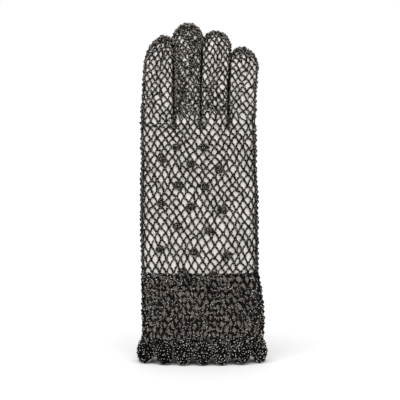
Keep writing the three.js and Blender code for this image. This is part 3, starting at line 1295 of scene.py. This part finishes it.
@dataclass
class Finger:
    """One finger: its lining and its net, closer on the fingers that are gathered more."""

    rng: Chance
    digit: Digit
    columns: int = 14
    step: float = 3.3
    tip_step: float = 3.2
    gathered: float = 0.0
    gathered_low: float = 0.0
    gathers_from: float = 7.0
    crown_density: float = 0.3
    crown_beads: int = 0
    crown_reach: float = 30.0
    crown_sparkle: float = 0.7
    free_right: float = 2.0
    free_left: float = 2.0
    sparkle: float = 0.2
    edge_sparkle: float = 0.85
    slit_depth: float = 6.3
    slit_width: float = 2.2
    strand: float = 0.82
    sides: int = 5

    @property
    def sleeve(self) -> Sleeve:
        """The finger's sleeve."""
        return FINGER_SLEEVES[self.digit]

    def build(self) -> list[Piece]:
        """Builds the lining and the net.

        Returns:
            The pieces.
        """
        name = f"{self.digit.value}_finger"
        inside = FINGER_LINING_SLEEVES[self.digit]
        lining = LiningWall(
            f"{name}_lining_knit", "hand_lining", (f"{name}_lining",), inside, 0.0, inside.length,
            around=48, depth=FINGER_LINING_DEPTH,
        )
        # bright holds the small light beads that are painted highlights
        maker, bright = MeshMaker(), MeshMaker()
        self.weave(maker, bright)
        net = [
            maker.finish(f"{name}_net_beads", FINGER_BEADS.material()),
            bright.finish(f"{name}_painted_glints", NET_GLINTS.material()),
        ]
        if self.digit is not Digit.INDEX:
            # A black cord closes the slit; its blackest finish also paints the slit's shade as a dark line
            cord = MeshMaker()
            self._slit_shade_cord(cord)
            net.append(cord.finish(f"{name}_slit_shade_cord", CUFF_BEADS.material()))
        return [lining.build(), *(dress(piece, "hand_beads", f"{name}_net") for piece in net)]

    def weave(self, maker: MeshMaker, bright: MeshMaker) -> None:
        """Lays the finger's net, its gathers and its edge loops.

        Args:
            maker: Where they go.
            bright: Where the painted highlight beads on them go.
        """
        rng, sleeve = self.rng, self.sleeve
        foot, end = FINGER_TUCK + 1.0, sleeve.length - 1.2
        ties = Hand(np.random.default_rng(SEED)).net().top_knots()
        net = Net(
            sleeve, rng, self.columns, foot, end, self.step, self.tip_step, radius=self.strand,
            wander=0.3, depth=FINGER_NET_DEPTH, slope=0.02, waist=0.52, sides=self.sides,
        )
        slit = near_edges(sleeve, 0.8, rng)
        laid = net.build(maker, lambda points: self.is_free(points) | ~slit(points), ties)
        beads = np.concatenate([*laid, self._gather(maker)])
        edge = near_edges(sleeve, 3.0, rng)
        # Painted highlights: more near the edges, and none deep in the slit, where shade falls
        share = np.where(edge(beads[:, 0]), self.edge_sparkle, self.sparkle)
        share = np.where(self.in_slit(beads[:, 0]), 0.0, share)
        add_glints(bright, beads, rng, share, radius=0.36, lift=0.64)
        add_glints(bright, self._crown(maker), rng, self.crown_sparkle, radius=0.36, lift=0.64)
        edge = near_edges(sleeve, 1.6, rng)
        close = Net(
            sleeve, rng, self.columns * 2 + 3, foot, end, self.step, self.tip_step,
            radius=0.5, wander=0.6, depth=0.5, bow=0.5, slope=0.0, sides=4,
        )
        top = HAND_TOP + sleeve.shoulder
        beads, _ = close.build(
            maker, lambda points: edge(points) & self.is_free(points) & (points[:, 2] < top)
        )
        add_glints(bright, beads, rng, share=0.4, radius=0.34, lift=0.4)
        u, s = edge_places(2, sleeve.length - 3, 3.5, rng)
        right = (u < 0.25) | (u > 0.75)
        free = s > np.where(right, self.free_right, self.free_left)
        add_loops(maker, sleeve, (u[free], s[free]), rng, reach=0.9)

    def is_free(self, points: Array) -> Array:
        """Whether points lie on a side of the finger that touches no other finger."""
        right = points[:, 0] > self.sleeve.section_at(points[:, 2]).x
        return points[:, 2] - HAND_TOP > np.where(right, self.free_right, self.free_left)

    def in_slit(self, points: Array) -> Array:
        """Whether points lie deep in the slit between the finger and a neighbour.

        Args:
            points: The points.

        Returns:
            True where a point does.
        """
        row = self.sleeve.section_at(points[:, 2])
        beside = np.abs(points[:, 0] - row.x) > row.half_width - self.slit_width
        deep = np.abs(points[:, 1] - row.y) < self.slit_depth
        return beside & deep & ~self.is_free(points)

    def _gather(self, maker: MeshMaker) -> Array:
        """Adds the loose second net of a gathered finger, and the closer crown.

        Args:
            maker: Where it goes.

        Returns:
            Its beads.
        """
        loose = Net(
            self.sleeve, self.rng, self.columns, 1.5, self.sleeve.length - 1.0, self.step, self.tip_step,
            radius=0.46, wander=0.4, depth=0.5, shift=0.5, bow=0.9, sides=4,
        )

        def gathers(points: Array) -> Array:
            """Whether a strand of the gathers is kept.

            Args:
                points: The strands' middles.

            Returns:
                True where a strand is kept.
            """
            height = points[:, 2] - HAND_TOP
            rises = smooth((height - self.gathers_from) / 6)
            low = self.gathered_low * smooth((34 - height) / 12)
            crown = self.crown_density * smooth((height - self.sleeve.shoulder - 1) / 5)
            share = np.maximum(np.maximum(self.gathered, low) * rises, crown)
            return self.rng.random(len(points)) < share

        return loose.build(maker, gathers)[0]

    def _crown(self, maker: MeshMaker) -> Array:
        """Sews beads up both edges of the fingertip, and over the crown of a gathered finger.

        Args:
            maker: Where they go.

        Returns:
            The beads.
        """
        rng, sleeve = self.rng, self.sleeve
        edge = np.arange(sleeve.shoulder - 5, sleeve.length, 2.1)
        over = sleeve.length - self.crown_reach * rng.random(self.crown_beads)
        s = np.concatenate([edge, edge + 1.0, over])
        u = np.concatenate([np.zeros(len(edge)), np.full(len(edge), 0.5), rng.random(self.crown_beads)])
        u = u + 0.012 * rng.standard_normal(len(u))
        s = np.clip(s + 0.35 * rng.standard_normal(len(s)), 0, sleeve.length)
        centres = sleeve.points(u, s, np.where(np.arange(len(s)) < 2 * len(edge), -0.35, 0.2))
        free = self.is_free(centres)
        centres = centres[free]
        beads = strung(centres, rng.standard_normal(centres.shape), sleeve.outward(u, s)[free])
        add_beads(maker, beads, 0.66 + 0.22 * rng.random(len(beads)))
        return beads

    def _slit_shade_cord(self, maker: MeshMaker) -> None:
        """Runs a thick cord up the finger's left side, which closes the slit to its neighbour; its black is
        also painted shade, the dark line of the slit.

        Args:
            maker: Where it goes.
        """
        count = 41
        s = np.linspace(FINGER_TUCK, self.sleeve.shoulder - 1, count)
        u = 0.5 + 0.006 * np.sin(s / 2.6) + 0.002 * self.rng.standard_normal(count)
        path = self.sleeve.points(u, s, -0.1)[None]
        swell = np.where(np.arange(count) % 2 == 1, 0.66, 0.56)
        add_strands(maker, path, swell[None], self.sleeve.outward(u, s)[None], 6)


@dataclass
class Thumb:
    """The thumb on the palm side: its lining and its net."""

    rng: Chance
    columns: int = 14
    step: float = 3.5
    tip_step: float = 2.6
    root_beads: int = 76
    root_top: float = 160.0
    sunk: float = -1.6

    def build(self) -> list[Piece]:
        """Builds the lining and the net.

        Returns:
            The pieces.
        """
        sleeve = THUMB_SLEEVE
        start = sleeve.height_to_s(THUMB_FOOT)
        lining = LiningWall(
            "thumb_lining_knit", "hand_lining", ("thumb_lining", "thumb_gusset_lining"),
            sleeve, start, sleeve.length, around=48,
        )
        maker = MeshMaker()
        net = Net(
            sleeve, self.rng, self.columns, start, sleeve.length - 1.2, self.step, self.tip_step,
            slope=0.02, sides=4,
        )
        net.build(maker, lambda points: ~HAND_SLEEVE.holds(points, self.sunk))
        self._root(maker)
        piece = maker.finish("thumb_net_beads", HAND_BEADS.material())
        return [lining.build(), dress(piece, "hand_beads", "thumb_net", "thumb_gusset_net")]

    def _root(self, maker: MeshMaker) -> None:
        """Sews a row of beads round the thumb's root, where its net leaves the palm's.

        Args:
            maker: Where they go.
        """
        turns = np.arange(self.root_beads) / self.root_beads
        climb = np.linspace(0, THUMB_SLEEVE.height_to_s(self.root_top), 300)
        u, s = np.meshgrid(turns, climb, indexing="ij")
        sunk = HAND_SLEEVE.holds(THUMB_SLEEVE.points(u, s, 0.0))
        last = len(climb) - 1 - np.argmax(sunk[:, ::-1], axis=1)
        centres = THUMB_SLEEVE.points(turns, climb[last], 0.3)
        ways = np.roll(centres, -1, axis=0) - np.roll(centres, 1, axis=0)
        add_beads(maker, strung(centres, ways, 0.0), 0.85)


@dataclass
class Cuff:
    """The cuff: a dark lining, two nets with one a little above the other, and more beads."""

    rng: Chance
    sleeve: Sleeve = field(default_factory=lambda: CUFF_SLEEVE)
    columns: int = 36
    step: float = 4.1
    scattered: int = 1100
    sparkle: float = 0.3
    top_beads: int = 150

    def build(self) -> list[Piece]:
        """Builds the lining, the two nets and the beads.

        Returns:
            The pieces.
        """
        end = self.sleeve.length
        lining = LiningWall(
            "cuff_lining_knit", "cuff_lining", ("cuff_lining",),
            self.sleeve, self.sleeve.height_to_s(CUFF_LINING_FOOT), end - 0.15, DARK_KNIT,
        )
        # bright holds the small light beads that are painted highlights
        under, over, bright = MeshMaker(), MeshMaker(), MeshMaker()
        state = self.rng.bit_generator.state
        span = (self.sleeve.height_to_s(HEM_TOP - 3), end - 0.6, self.step, self.step)
        first = Net(self.sleeve, self.rng, self.columns, *span, radius=0.79, beads=4, wander=0.42, sides=4)
        beads = [*first.build(under)]
        self.rng.bit_generator.state = state
        second = Net(
            self.sleeve, self.rng, self.columns, *span,
            radius=0.72, beads=4, wander=0.42, depth=0.25, climb=1.9, bow=1.0, sides=4,
        )
        beads += second.build(over)
        self._scatter(over, bright, np.concatenate(beads))
        self._edge_strand(under)
        nets = (
            ("cuff_net_under", under, CUFF_NET_BEADS),
            ("cuff_net_over", over, CUFF_NET_BEADS),
            ("cuff_painted_glints", bright, CUFF_GLINTS),
        )
        pieces = [
            dress(maker.finish(name, finish.material()), "cuff_beads", "cuff_net")
            for name, maker, finish in nets
        ]
        return [lining.build(), *pieces]

    def _scatter(self, maker: MeshMaker, bright: MeshMaker, beads: Array) -> None:
        """Threads larger beads here and there, sets painted highlight beads on some, and adds the edge
        loops.

        Args:
            maker: Where the larger beads and the loops go.
            bright: Where the painted highlight beads go.
            beads: The nets' beads, as strung() gives them.
        """
        rng = self.rng
        picked = beads[rng.permutation(len(beads))[: self.scattered]]
        raised = strung(picked[:, 0] + picked[:, 2] * 0.25, picked[:, 1], picked[:, 2])
        add_beads(maker, raised, 0.7 + 0.2 * rng.random(len(picked)))
        add_glints(bright, beads, rng, self.sparkle, radius=0.41, lift=0.78)
        add_loops(maker, self.sleeve, edge_places(17, self.sleeve.length - 2, 3.9, rng), rng)

    def _edge_strand(self, maker: MeshMaker) -> None:
        """Runs a strand of beads round the top of the cuff.

        Args:
            maker: Where it goes.
        """
        u = np.arange(self.top_beads) / self.top_beads
        centres = self.sleeve.points(u, np.full(self.top_beads, self.sleeve.length - 0.8), NET_DEPTH)
        add_beads(maker, strung(centres, np.roll(centres, -1, axis=0) - centres, 0.0), 0.62)


@dataclass
class Hem:
    """The hem: rounded shells of beads in rows, cupped and leaning outwards."""

    rng: Chance
    places: tuple[tuple[float, float], ...] = (
        (-40.4, 6.3), (-26.2, 6.3), (-11.9, 6.3), (2.4, 6.3), (16.2, 6.2), (31.6, 6.6), (44.9, 5.7)
    )
    side_width: float = 4.6
    centre_z: float = 9.3
    drop: float = 8.4
    rise: float = 8.6
    stand_off: float = 1.1
    dome: float = 1.9
    lean: float = 0.14
    face_front: float = 0.7
    bead: float = 0.86
    row_shares: tuple[float, ...] = (1.0, 0.76, 0.52, 0.28, 0.06)
    cord_shares: tuple[float, ...] = (0.88, 0.64, 0.4, 0.16)
    cord: float = 0.95
    jitter: float = 0.65
    web_columns: int = 44

    def shells(self) -> list[tuple[float, float]]:
        """The place of each shell round the wrist, and its half width.

        Returns:
            Shares of the way round with half widths: the front's, the back's and the two sides'.
        """
        u = np.linspace(0.5, 1, 2000)
        x = CUFF_SLEEVE.points(u, np.full(u.size, self.centre_z), 0.0)[:, 0]
        front = [(float(np.interp(place, x, u)), wide) for place, wide in self.places]
        back = [(1 - turn, wide) for turn, wide in front]
        return [*front, *back, (0.0, self.side_width), (0.5, self.side_width)]

    def axes(self, turn: float) -> tuple[Array, Array, Array, Array]:
        """A shell's centre and its directions across, up and outward.

        Args:
            turn: Its share of the way round the wrist.

        Returns:
            The centre and the three directions.
        """
        u = np.array([turn])
        s = np.array([CUFF_SLEEVE.height_to_s(self.centre_z)])
        out = CUFF_SLEEVE.outward(u, s)[0]
        out[2] = 0
        facing = out
        if abs(out[1]) > 0.1:
            front = np.array([0.0, math.copysign(1.0, out[1]), 0.0])
            facing = unit(out + (front - out) * self.face_front)
        across = np.cross([0.0, 0.0, 1.0], facing)
        up = unit(np.array([0.0, 0.0, 1.0]) - facing * self.lean)
        centre = CUFF_SLEEVE.points(u, s, 0.0)[0] + out * self.stand_off
        return centre, across, up, facing

    def shell_beads(self, turn: float, half_width: float) -> Array:
        """The beads of one shell.

        Args:
            turn: Its share of the way round the wrist.
            half_width: Half its width.

        Returns:
            The beads, as strung() gives them.
        """
        rng = self.rng
        centre, across, up, out = self.axes(turn)
        centres, ways = [], []
        for share in self.row_shares:
            length = math.pi * (half_width + self.drop) * share
            count = max(3, round(length / (2.08 * self.bead)))
            angle = TURN * (np.arange(count) + rng.random()) / count
            reach = np.where(np.cos(angle) > 0, self.drop, self.rise)
            aside = share * half_width * np.sin(angle)
            height = -share * reach * np.cos(angle)
            loose = 0.08 + 0.28 * (1 - share)
            forward = self.dome * (1 - share**2) + loose * rng.standard_normal(count)
            row = centre + aside[:, None] * across + height[:, None] * up + forward[:, None] * out
            row = row + self.jitter * (1.1 - share) * rng.standard_normal((count, 3))
            row[:, 2] = np.maximum(row[:, 2], self.bead)
            centres.append(row)
            ways.append(np.roll(row, -1, axis=0) - np.roll(row, 1, axis=0))
        return strung(np.concatenate(centres), np.concatenate(ways), out)

    def add_cords(self, maker: MeshMaker, turn: float, half_width: float) -> None:
        """Adds the dark cords that lie behind and between one shell's rows of beads.

        Args:
            maker: Where they go.
            turn: The shell's share of the way round the wrist.
            half_width: Half its width.
        """
        centre, across, up, out = self.axes(turn)
        angle = np.linspace(0, TURN, 21)
        for share in self.cord_shares:
            aside = share * half_width * np.sin(angle)
            height = -share * self.drop * np.cos(angle)
            forward = self.dome * (1 - share**2) - 0.7
            path = centre + aside[:, None] * across + height[:, None] * up + forward * out
            path[:, 2] = np.maximum(path[:, 2], self.cord)
            add_strands(maker, path[None], self.cord, out, 5)

    def build(self) -> list[Piece]:
        """Builds the shells, the light beads of painted highlights on them and the darker web behind them.

        Returns:
            The pieces.
        """
        rng = self.rng
        # bright holds the small light beads that are painted highlights
        dark, bright = MeshMaker(), MeshMaker()
        for turn, half_width in self.shells():
            beads = self.shell_beads(turn, half_width)
            size = self.bead * (0.9 + 0.2 * rng.random(len(beads)))
            ways = beads[:, 1] + 0.25 * rng.standard_normal((len(beads), 3))
            add_beads(dark, strung(beads[:, 0], ways, 0.0), size)
            self.add_cords(dark, turn, half_width)
            add_glints(bright, beads, rng, share=0.8, radius=0.4, lift=0.74)
        foot, top = CUFF_SLEEVE.height_to_s(5.2), CUFF_SLEEVE.height_to_s(HEM_TOP + 3)
        web = Net(
            CUFF_SLEEVE, rng, self.web_columns, foot, top, 3.2, 3.2,
            radius=0.86, wander=0.6, depth=-0.3, slope=0.0, sides=4,
        )
        add_glints(bright, np.concatenate(web.build(dark)), rng, share=0.6, radius=0.37, lift=0.6)
        return [
            dress(maker.finish(name, finish.material()), "cuff_beads", "hem_ruffle")
            for name, maker, finish in (
                ("hem_shells", dark, CUFF_BEADS), ("hem_painted_glints", bright, BRIGHT_BEADS)
            )
        ]


@dataclass(frozen=True)
class MotifRow:
    """One row of motifs across the back of the hand."""

    z: float
    first: float
    step: float
    drop: float
    count: int


MOTIF_ROWS = (
    MotifRow(165, -16.9, 20.7, 0.7, 2),
    MotifRow(155.5, -28.1, 21.4, 3.8, 3),
    MotifRow(135.8, -16.9, 21, 0.8, 2),
    MotifRow(122.3, -28.9, 22.9, 2.3, 3),
    MotifRow(105, -16.9, 24, 3, 2),
    MotifRow(87.8, -29.6, 25.5, 2.2, 3),
    MotifRow(70.5, -13.1, 24.7, 2.2, 2),
)


@dataclass
class Motifs:
    """The clusters of beads on the back of the hand."""

    rng: Chance
    half_width: float = 3.1
    half_height: float = 2.7
    bead: float = 0.76
    rings: tuple[tuple[float, int], ...] = ((1.0, 12), (0.5, 6))
    cord_shares: tuple[float, ...] = (0.78, 0.3)
    cord: float = 0.6

    def build(self) -> list[Piece]:
        """Builds every motif.

        Returns:
            The pieces.
        """
        material = MOTIF_BEADS.material()
        # bright holds the small light beads that are painted highlights
        bright = MeshMaker()
        spots = [
            (row.first + i * row.step, row.z - i * row.drop) for row in MOTIF_ROWS for i in range(row.count)
        ]
        nodes = [f"motif_{number:02d}" for number in range(1, len(spots) + 1)]
        pieces = []
        for node, spot in zip(nodes, spots):
            maker = MeshMaker()
            self._cords(maker, *spot)
            self._cluster(maker, bright, *spot)
            pieces.append(dress(maker.finish(f"{node}_beads", material), "motif_beads", node))
        glints = bright.finish("motif_painted_glints", NET_GLINTS.material())
        return [*pieces, dress(glints, "motif_beads", *nodes)]

    def _cluster(self, maker: MeshMaker, bright: MeshMaker, x: float, z: float) -> None:
        """Sews one motif's beads.

        Args:
            maker: Where they go.
            bright: Where its painted highlight beads go.
            x: The motif's place across.
            z: Its height.
        """
        rng = self.rng
        spots = [np.zeros((1, 2))]
        for share, count in self.rings:
            turn = TURN * (np.arange(count) + rng.random()) / count
            wide, high = share * self.half_width, share * self.half_height
            spots.append(np.stack([wide * np.cos(turn), high * np.sin(turn)], axis=1))
        flat = np.concatenate(spots)
        across, over = (flat + 0.12 * rng.standard_normal(flat.shape)).T
        rise = 1 - np.hypot(across / self.half_width, over / self.half_height)
        face = hand_face(x + across, z + over, -1.0) + 0.25 - 1.0 * np.clip(rise, 0, 1)
        centres = np.stack([x + across, face, z + over], axis=1)
        ways = np.stack([-over, 0.3 * rng.standard_normal(len(flat)), across + 0.1], axis=1)
        beads = strung(centres, ways, [0.0, -1.0, 0.0])
        add_beads(maker, beads, self.bead * (0.9 + 0.2 * rng.random(len(flat))))
        add_glints(bright, beads, rng, share=0.8, radius=0.41, lift=0.66)

    def _cords(self, maker: MeshMaker, x: float, z: float) -> None:
        """Lays the round cords that a motif's beads are sewn on.

        Args:
            maker: Where they go.
            x: The motif's place across.
            z: Its height.
        """
        angle = np.linspace(0, TURN, 13)
        for share in self.cord_shares:
            across = x + share * self.half_width * np.cos(angle)
            height = z + share * self.half_height * np.sin(angle)
            face = hand_face(across, height, -1.0) + self.cord * 0.6
            path = np.stack([across, face, height], axis=1)[None]
            add_strands(maker, path, self.cord, [0.0, -1.0, 0.0], 5)


@dataclass
class Studio:
    """A white floor, soft white light and the photograph's camera."""

    lens: float = 120.0
    sensor: float = 36.0
    elevation: float = 4.5
    sky: float = 1.0
    floor_side: float = 6.0
    floor_shade: float = 0.68

    def build(self) -> None:
        """Sets the stage."""
        self._camera()
        self._floor()
        self._sky()
        self._lamp("window_key", (-0.3, -0.8, 1.05), 2.2, 65)
        self._lamp("window_fill", (0.7, -0.9, 0.8), 0.7, 50)
        bpy.context.scene.view_settings.view_transform = "Standard"
        bpy.context.scene.view_settings.look = "None"

    def _camera(self) -> None:
        """Stands the camera so that the glove's face has the photograph's scale and place."""
        middle = PHOTO_SIDE / 2
        aim = Vector((
            (middle - ORIGIN_PIXEL[0]) * MM_PER_PIXEL * MM,
            -HAND_SLEEVE.sections[0].half_depth * MM,
            (ORIGIN_PIXEL[1] - middle) * MM_PER_PIXEL * MM,
        ))
        distance = PHOTO_SIDE * MM_PER_PIXEL * MM * self.lens / self.sensor
        tilt = math.radians(self.elevation)
        back = Vector((0, -math.cos(tilt), math.sin(tilt)))
        data = bpy.data.cameras.new("photo_camera")
        data.lens = self.lens
        data.sensor_width = self.sensor
        data.clip_start = 0.05
        camera = bpy.data.objects.new("photo_camera", data)
        camera.location = aim + back * distance
        camera.rotation_euler = (-back).to_track_quat("-Z", "Y").to_euler()
        bpy.context.scene.collection.objects.link(camera)
        bpy.context.scene.camera = camera

    def _floor(self) -> None:
        """Lays the white floor."""
        half = self.floor_side / 2 / MM
        corners = np.array([[[-half, -half, 0], [half, -half, 0], [half, half, 0], [-half, half, 0]]], float)
        maker = MeshMaker()
        maker.add(corners, np.array([[0, 1, 2], [0, 2, 3]]))
        nodes = Nodes("white_floor")
        nodes.feed(nodes.shader, {
            "Base Color": (*[self.floor_shade] * 3, 1),
            "Roughness": 0.7,
            "Specular IOR Level": 0.2,
        })
        maker.finish("floor", nodes.material)

    def _sky(self) -> None:
        """Lights the room evenly."""
        world = bpy.data.worlds.new("white_room")
        world.use_nodes = True
        background = world.node_tree.nodes["Background"]
        background.inputs["Color"].default_value = (1, 1, 1, 1)
        background.inputs["Strength"].default_value = self.sky
        bpy.context.scene.world = world

    def _lamp(self, name: str, way: Colour, power: float, spread: float) -> None:
        """Lights the room from far away, as a wide window does.

        Args:
            name: The light's name.
            way: Where it stands, seen from the glove.
            power: Its power in watts a square metre.
            spread: How wide it looks, in degrees.
        """
        data = bpy.data.lights.new(name, "SUN")
        data.energy = power
        data.angle = math.radians(spread)
        light = bpy.data.objects.new(name, data)
        light.location = way
        light.rotation_euler = Vector(way).to_track_quat("Z", "Y").to_euler()
        bpy.context.scene.collection.objects.link(light)


def main() -> None:
    """Builds the studio and the glove, and reports each piece."""
    logging.basicConfig(level=logging.INFO, format="%(name)s %(message)s")
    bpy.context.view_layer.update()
    Studio().build()
    rng = np.random.default_rng(SEED + 1)
    parts = [
        Hand(np.random.default_rng(SEED)),
        Cuff(rng),
        Hem(rng),
        Finger(rng, Digit.INDEX, columns=16, free_right=58),
        Finger(
            rng, Digit.MIDDLE, columns=16, step=2.9, tip_step=2.8, strand=0.7, sides=4,
            gathered=0.64, gathered_low=0.85, gathers_from=3.0, crown_density=0.85, crown_beads=300,
            crown_sparkle=0.4, sparkle=0.24, free_right=56, free_left=58,
        ),
        Finger(
            rng, Digit.RING, columns=15, step=3.15, gathered=0.1, gathered_low=0.7, crown_density=0.0,
            free_right=44, free_left=58,
        ),
        Finger(rng, Digit.LITTLE, columns=13, tip_step=3.1, crown_density=0.1, free_left=46),
        Thumb(rng),
        Motifs(rng),
    ]
    for part in parts:
        for piece in part.build():
            LOG.info("%s rides on %s", piece.name, BODY)


if __name__ == "__main__":
    main()
